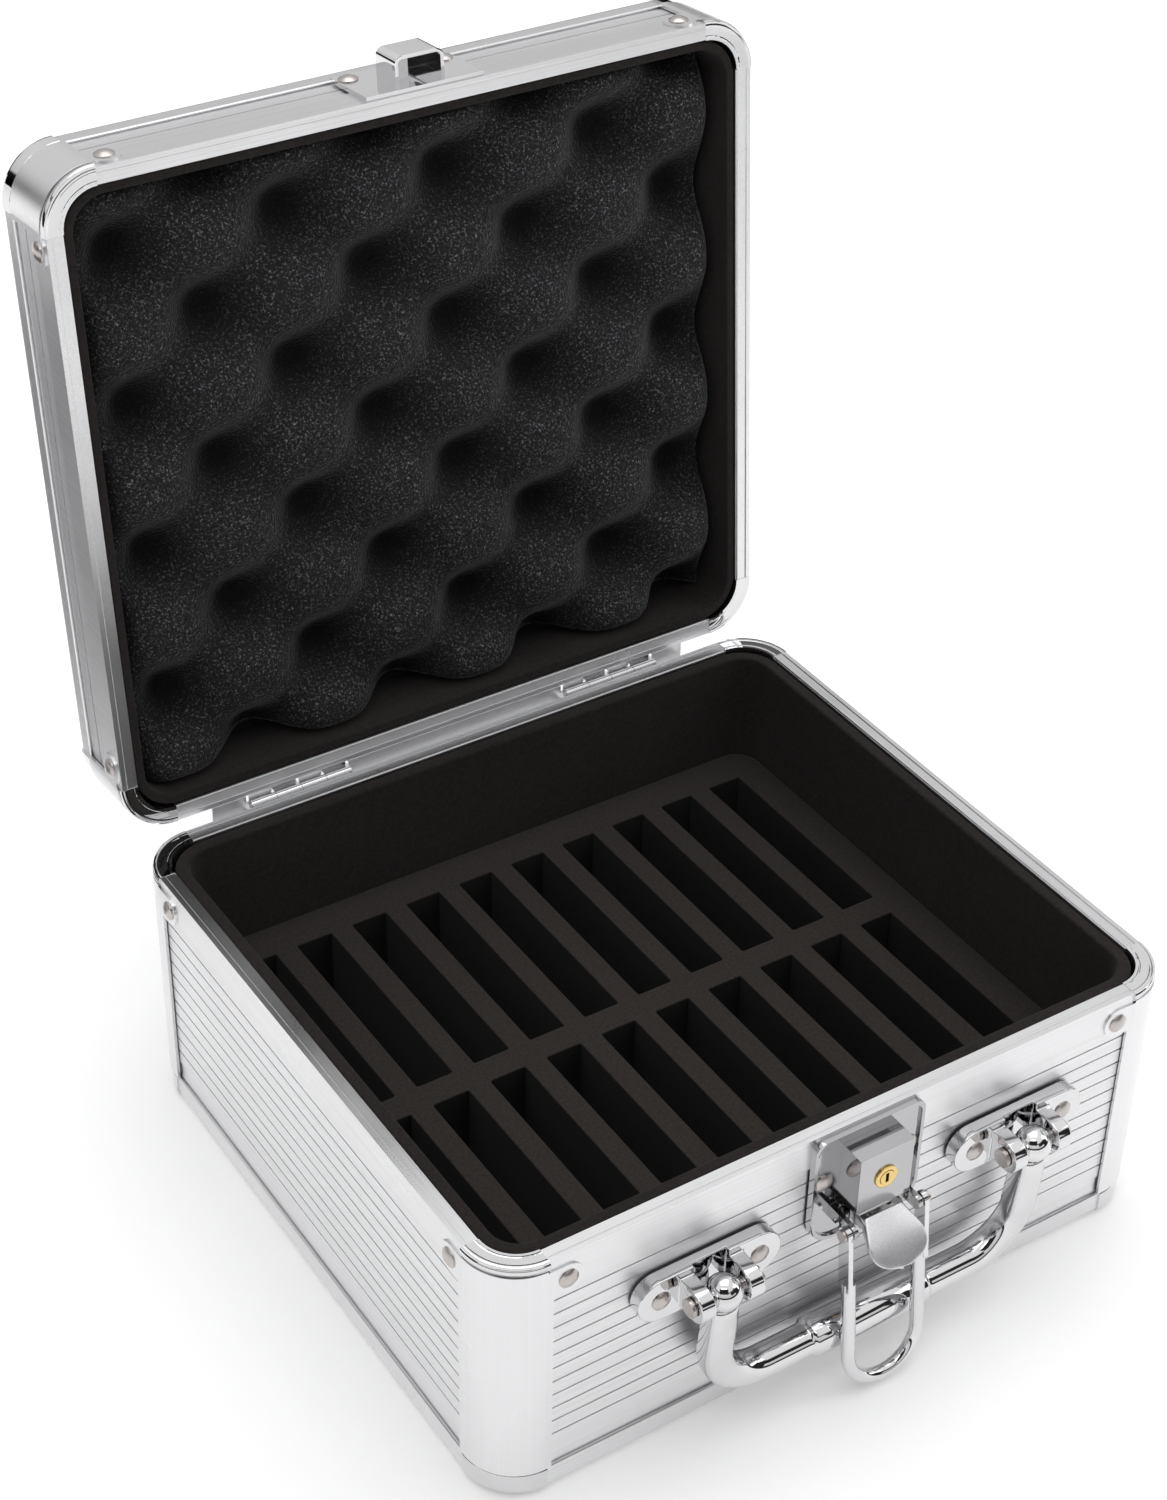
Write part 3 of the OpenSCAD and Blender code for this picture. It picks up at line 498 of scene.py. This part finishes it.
def sweep(name, path, normal):
    """Tube along a path in the plane with this normal.

    Each path point is a place, a direction and the outline there, as (side, normal) pairs."""
    bm = bmesh.new()
    rings = []
    for point, along, outline in path:
        side = along.cross(normal).normalized()
        rings.append([bm.verts.new(point + side * a + normal * b) for a, b in outline])
    for one, two in zip(rings, rings[1:]):
        for i in range(len(one)):
            j = (i + 1) % len(one)
            bm.faces.new((one[i], one[j], two[j], two[i]))
    bm.faces.new(rings[0])
    bm.faces.new(rings[-1])
    bmesh.ops.recalc_face_normals(bm, faces=bm.faces)
    return mesh_from(bm, name)


def super_ring(half_a, half_b, power):
    """Superellipse: an ellipse at power 2, and squarer as the power grows."""
    steps = 28
    ring = []
    for k in range(steps):
        turn = 2 * math.pi * k / steps
        c, s = math.cos(turn), math.sin(turn)
        a = half_a * math.copysign(abs(c) ** (2 / power), c)
        b = half_b * math.copysign(abs(s) ** (2 / power), s)
        ring.append((a, b))
    return ring


def blend(one, two, t):
    """Eased mix of two sections, with no kink at either end."""
    t = t * t * (3 - 2 * t)
    return tuple(p + (q - p) * t for p, q in zip(one, two))


def handle_piece():
    """Chromed drop handle: flat arms, two bends and a round grip with a thicker middle."""
    pivot = Vector(joints["handle_pivot"]["pos_m"])
    span, drop, bend = 48.6 * MM, 38 * MM, 16 * MM
    arm_start, ball_r = 3 * MM, 4.95 * MM
    grip_half, swell = 19 * MM, 1.4 * MM
    arm_steps, bend_steps = 6, 16
    lean = math.radians(5.3)
    across, down = Vector((1, 0, 0)), Vector((0, math.sin(lean), -math.cos(lean)))
    out = across.cross(down).normalized()
    # Sections: half sizes across and out, and the superellipse's power.
    eye = (3.9 * MM, 3.9 * MM, 2.2)
    arm = (4.3 * MM, 3.5 * MM, 3.6)
    tube = (4.6 * MM, 4.6 * MM, 2.0)
    grip = (5.4 * MM, 5.4 * MM, 2.2)

    # The left half, from the pivot to the middle: place across, place down, direction, section.
    left = []
    for k in range(arm_steps + 1):
        d = arm_start + (drop - bend - arm_start) * k / arm_steps
        left.append((-span, d, down, blend(eye, arm, min(1, k / 3))))
    for k in range(1, bend_steps):
        a = math.radians(90 * k / bend_steps)
        x = -span + bend - bend * math.cos(a)
        d = drop - bend + bend * math.sin(a)
        along = down * math.cos(a) + across * math.sin(a)
        left.append((x, d, along, blend(arm, tube, k / bend_steps)))
    for x in (-span + bend, -grip_half - 0.8 * MM, -grip_half):
        left.append((x, drop, across, tube))
    for t in (0.15, 0.4, 0.7, 1.0):
        left.append((-grip_half + swell * t, drop, across, blend(tube, grip, t)))
    right = [
        (-x, d, Vector((along.x, -along.y, -along.z)), section)
        for x, d, along, section in reversed(left)
    ]
    path = [
        (pivot + across * x + down * d, along.normalized(), super_ring(*section))
        for x, d, along, section in left + right
    ]
    parts = [sweep("handle_body", path, out)]
    for sx in (-1, 1):
        ball = bmesh.new()
        bmesh.ops.create_uvsphere(ball, u_segments=40, v_segments=24, radius=ball_r)
        bmesh.ops.translate(ball, verts=ball.verts, vec=pivot + across * sx * span)
        parts.append(mesh_from(ball, "ball"))
    mesh = join_meshes("drop_handle", parts)
    finish_piece("drop_handle", mesh, "handle", "chrome", ("handle",))


handle_piece()


def lever_piece():
    """Pressed lever: a satin flap with folded cheeks and a rounded, slightly lifted tip."""
    pin = Vector(joints["lever_pivot"]["pos_m"])
    fall = math.radians(40)
    across, out, up = Vector((1, 0, 0)), Vector((0, -1, 0)), Vector((0, 0, 1))
    along = out * math.cos(fall) - up * math.sin(fall)
    normal = out * math.sin(fall) + up * math.cos(fall)
    start = pin + out * 4.6 * MM + up * 2.7 * MM
    length, sheet_t = 15.0 * MM, 0.9 * MM
    root_half, flare = 5.9 * MM, 2.7 * MM
    tip_from, tip_least = 0.55, 0.12
    lift_high, crown_high = 0.7 * MM, 0.5 * MM
    fold_deep, flat_share = 2.6 * MM, 0.8
    steps, ribs = 26, 24

    def half_width(t):
        wide = root_half + flare * min(1, t / 0.5) ** 0.9
        if t > tip_from:
            u = (t - tip_from) / (1 - tip_from)
            wide *= max(tip_least, math.sqrt(max(0.0, 1 - u ** 2.6)))
        return wide

    def flap_point(t, s):
        """Point at share t of the length and share s of the width, whose ends fold down."""
        flat = min(1.0, abs(s) / flat_share)
        folded = max(0.0, abs(s) - flat_share) / (1 - flat_share)
        deep = fold_deep * folded * max(0.0, 1 - t * 1.05) ** 0.6
        height = lift_high * math.sin(math.pi * t) + crown_high * (1 - flat * flat) - deep
        x = math.copysign(flat * half_width(t), s)
        return start + along * length * t + across * x + normal * height

    bm = bmesh.new()
    rows = [
        [bm.verts.new(flap_point(i / steps, 2 * j / ribs)) for j in range(-ribs // 2, ribs // 2 + 1)]
        for i in range(steps + 1)
    ]
    for one, two in zip(rows, rows[1:]):
        for j in range(ribs):
            bm.faces.new((one[j], one[j + 1], two[j + 1], two[j]))
    bmesh.ops.recalc_face_normals(bm, faces=bm.faces)
    # Cheeks that join the flap's root to the pin, as millimetres out of the pin and up from it.
    eye_r = 1.9
    angles = [math.radians(a) for a in range(110, 300, 15)]
    cheek = [(eye_r * math.cos(a), eye_r * math.sin(a)) for a in angles]
    cheek += [(4.6, -0.9), (7.0, 0.6), (6.2, 1.9), (4.4, 3.0), (1.6, 2.6)]
    for sx in (-1, 1):
        middle = pin + across * sx * root_half
        side = [bm.verts.new(middle + out * a * MM + up * b * MM) for a, b in cheek]
        bm.faces.new(side if sx > 0 else side[::-1])
    mesh = mesh_from(bm, "flap")
    piece = finish_piece("lever_flap", mesh, "lever", "satin", ("lever",))
    thick = piece.modifiers.new("thick", "SOLIDIFY")
    thick.thickness = sheet_t
    thick.offset = -1
    piece.modifiers.new("smooth", "SUBSURF").levels = 1


lever_piece()

# ------------------------------------------------------------------ studio


def facing(place, aim):
    """Turn that points the -Z side of a light, card or camera from a place to an aim."""
    return (Vector(aim) - Vector(place)).to_track_quat("-Z", "Y")


def stage_plane(name, size, gray, location, rotation=(0, 0, 0), hidden=False, glow=0.0):
    bm = bmesh.new()
    bmesh.ops.create_grid(bm, x_segments=1, y_segments=1, size=0.5)
    bmesh.ops.scale(bm, vec=(*size, 1), verts=bm.verts)
    mesh = mesh_from(bm, name)
    obj = bpy.data.objects.new(name, mesh)
    obj.location = location
    obj.rotation_euler = rotation
    bpy.context.scene.collection.objects.link(obj)
    surface = Nodes(name)
    surface.set(Base_Color=(*gray, 1), Roughness=0.9)
    surface.set(Emission_Color=(*gray, 1), Emission_Strength=glow)
    mesh.materials.append(surface.mat)
    obj.visible_camera = not hidden
    return obj


def area_light(name, place, aim, size, power):
    light = bpy.data.lights.new(name, "AREA")
    light.shape = "RECTANGLE"
    light.size, light.size_y = size
    light.energy = power
    obj = bpy.data.objects.new(name, light)
    obj.location = place
    obj.rotation_euler = facing(place, aim).to_euler()
    bpy.context.scene.collection.objects.link(obj)


def studio_set():
    """Floor, soft lights, and cards that the camera doesn't see but the metal mirrors."""
    white, black, gray = (0.93, 0.93, 0.93), (0.01, 0.01, 0.01), (0.16, 0.16, 0.165)
    middle = (0, 0, 0.1)
    stage_plane("floor", (8, 8), white, (0, 0, -0.0005), glow=0.22)
    for name, size, place, aim in (
        ("card_camera", (1.0, 0.55), (-0.5, -0.7, 0.82), middle),
        ("card_right", (0.5, 0.5), (0.75, -0.75, 0.3), (0, -0.1, 0.1)),
        ("card_left", (0.6, 0.3), (-0.95, 0.25, 0.32), middle),
        ("card_front", (0.5, 0.16), (0.25, -0.55, 0.3), (0, -0.1, 0.05)),
    ):
        stage_plane(name, size, black, place, facing(place, aim).to_euler(), hidden=True)
    # Lies left of the case for the lid's left side to mirror. It doesn't shade or tint the floor.
    sheet = stage_plane("sheet_left", (0.34, 0.5), gray, (-0.33, 0.4, 0.002), hidden=True)
    sheet.visible_diffuse = False
    sheet.visible_shadow = False
    area_light("key", (-1.0, -1.2, 1.9), middle, (1.2, 1.2), 15)
    area_light("top", (0.2, 0.3, 2.2), middle, (1.6, 1.6), 13)
    area_light("fill_right", (1.6, -0.9, 0.9), middle, (0.8, 1.4), 5)


studio_set()


def studio_world():
    """White dome, dark at the horizon and in a band half way up, for contrast in the metal.

    The camera itself sees a plain white backdrop."""
    # Brightness of the dome against height, from 0 at the horizon to 1 overhead.
    bands = (
        (0.13, 0.01),
        (0.17, 0.7),
        (0.4, 0.85),
        (0.5, 0.9),
        (0.53, 0.15),
        (0.6, 0.15),
        (0.63, 0.95),
    )
    world = bpy.data.worlds.new("studio")
    bpy.context.scene.world = world
    world.use_nodes = True
    tree = world.node_tree
    dome = tree.nodes["Background"]
    coord = tree.nodes.new("ShaderNodeTexCoord")
    split = tree.nodes.new("ShaderNodeSeparateXYZ")
    ramp = tree.nodes.new("ShaderNodeValToRGB")
    ramp.color_ramp.elements[0].position = 0.0
    ramp.color_ramp.elements[0].color = (0.0, 0.0, 0.0, 1)
    ramp.color_ramp.elements[1].position = 0.8
    ramp.color_ramp.elements[1].color = (1, 1, 1, 1)
    for position, level in bands:
        step = ramp.color_ramp.elements.new(position)
        step.color = (level, level, level, 1)
    backdrop = tree.nodes.new("ShaderNodeBackground")
    mix = tree.nodes.new("ShaderNodeMixShader")
    path = tree.nodes.new("ShaderNodeLightPath")
    tree.links.new(coord.outputs["Generated"], split.inputs[0])
    tree.links.new(split.outputs["Z"], ramp.inputs[0])
    tree.links.new(ramp.outputs[0], dome.inputs["Color"])
    dome.inputs["Strength"].default_value = 0.95
    backdrop.inputs["Color"].default_value = (1, 1, 1, 1)
    tree.links.new(path.outputs["Is Camera Ray"], mix.inputs[0])
    tree.links.new(dome.outputs[0], mix.inputs[1])
    tree.links.new(backdrop.outputs[0], mix.inputs[2])
    tree.links.new(mix.outputs[0], tree.nodes["World Output"].inputs["Surface"])


studio_world()


def photo_camera():
    """Camera at the photograph's viewing angle, solved on the rim, posts, lid and hinges."""
    place, aim = (-0.3362, -0.4761, 0.5624), (-0.02495, -0.00594, 0.14761)
    roll = Matrix.Rotation(math.radians(1.298), 4, "Z")
    camera = bpy.data.cameras.new("camera")
    camera.lens = 67.3
    camera.sensor_width = 36
    camera.clip_start = 0.01
    obj = bpy.data.objects.new("camera", camera)
    obj.location = place
    obj.rotation_euler = (facing(place, aim).to_matrix().to_4x4() @ roll).to_euler()
    bpy.context.scene.collection.objects.link(obj)
    bpy.context.scene.camera = obj
    bpy.context.scene.view_settings.view_transform = "Standard"


photo_camera()
